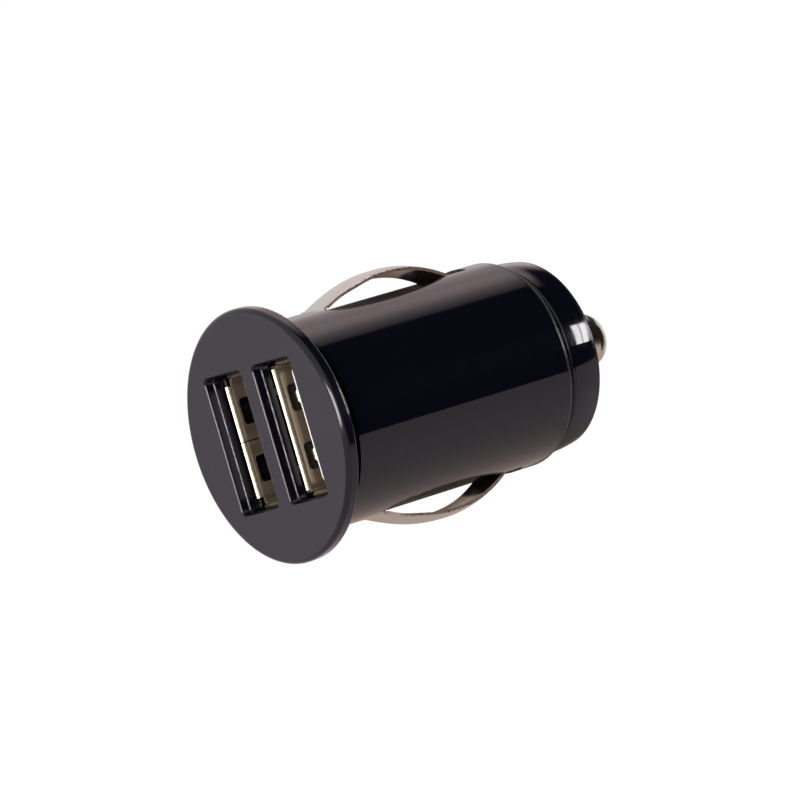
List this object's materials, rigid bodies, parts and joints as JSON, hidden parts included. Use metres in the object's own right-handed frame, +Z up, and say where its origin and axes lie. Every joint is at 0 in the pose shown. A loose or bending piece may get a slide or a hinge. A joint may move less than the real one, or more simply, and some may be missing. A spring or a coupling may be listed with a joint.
{
  "type": "car usb charger plug",
  "caption": "Small round plug for a vehicle power socket, with a flanged face holding upright charging ports, a glossy barrel with bowed side springs and a sprung centre tip.",
  "frame": {"origin": "on the plug's axis at the seat behind the flange, where the flange stops at the socket's rim", "axes": "+Y along the plug's axis into the socket, -Y out of the face with the ports, +X to the right seen from the face, +Z up through the upper spring"},
  "size_m": [0.0252, 0.0422, 0.0252],
  "materials": {
    "face_plastic": "satin dark grey",
    "housing_plastic": "polished black",
    "nose_plastic": "polished black",
    "tip_metal": "bright nickel plate",
    "coil_steel": "drawn wire",
    "seat_brass": "stamped",
    "spring_steel": "bright rolled nickel steel",
    "shell_metal": "bright nickel plate",
    "white_plastic": "moulded white",
    "contact_brass": "gold flash",
    "board_laminate": "black solder mask",
    "chip_plastic": "moulded black",
    "ferrite": "sintered",
    "winding_wire": "enamelled copper wire",
    "can_aluminium": "drawn can",
    "fuse_ceramic": "glazed chip",
    "chip_ceramic": "sintered chip"
  },
  "bodies": {
    "charger": {"face_plate": "face_plastic", "barrel_housing": "housing_plastic", "nose_cap": "nose_plastic", "tip_spring": "coil_steel", "tip_contact": "seat_brass", "usb_shell_left": "shell_metal", "usb_shell_right": "shell_metal", "usb_insulator_left": "white_plastic", "usb_insulator_right": "white_plastic", "usb_contacts_left": "contact_brass", "usb_contacts_right": "contact_brass", "ground_tab_upper": "seat_brass", "ground_tab_lower": "seat_brass", "circuit_board": "board_laminate", "converter_chip": "chip_plastic", "inductor_core": "ferrite", "inductor_winding": "winding_wire", "input_capacitor": "can_aluminium", "output_capacitor": "can_aluminium", "schottky_diode": "chip_plastic", "input_fuse": "fuse_ceramic", "chip_resistors": "chip_ceramic", "chip_capacitors": "chip_ceramic"},
    "tip": {"centre_tip": "tip_metal"},
    "upper_spring": {"ground_spring_upper": "spring_steel"},
    "lower_spring": {"ground_spring_lower": "spring_steel"}
  },
  "joints": [
    {"name": "tip_press", "type": "slide", "parent": "charger", "child": "tip", "axis": [0, -1, 0], "range_m": [0, 0.003], "stiffness_N_per_m": 1500, "deforming": ["tip_spring"]},
    {"name": "upper_spring_flex", "type": "hinge", "parent": "charger", "child": "upper_spring", "pos_m": [0, 0.004, 0.00875], "axis": [-1, 0, 0], "range_deg": [0, 10.5], "stiffness_Nm_per_rad": 0.5},
    {"name": "lower_spring_flex", "type": "hinge", "parent": "charger", "child": "lower_spring", "pos_m": [0, 0.004, -0.00875], "axis": [1, 0, 0], "range_deg": [0, 10.5], "stiffness_Nm_per_rad": 0.5}
  ]
}
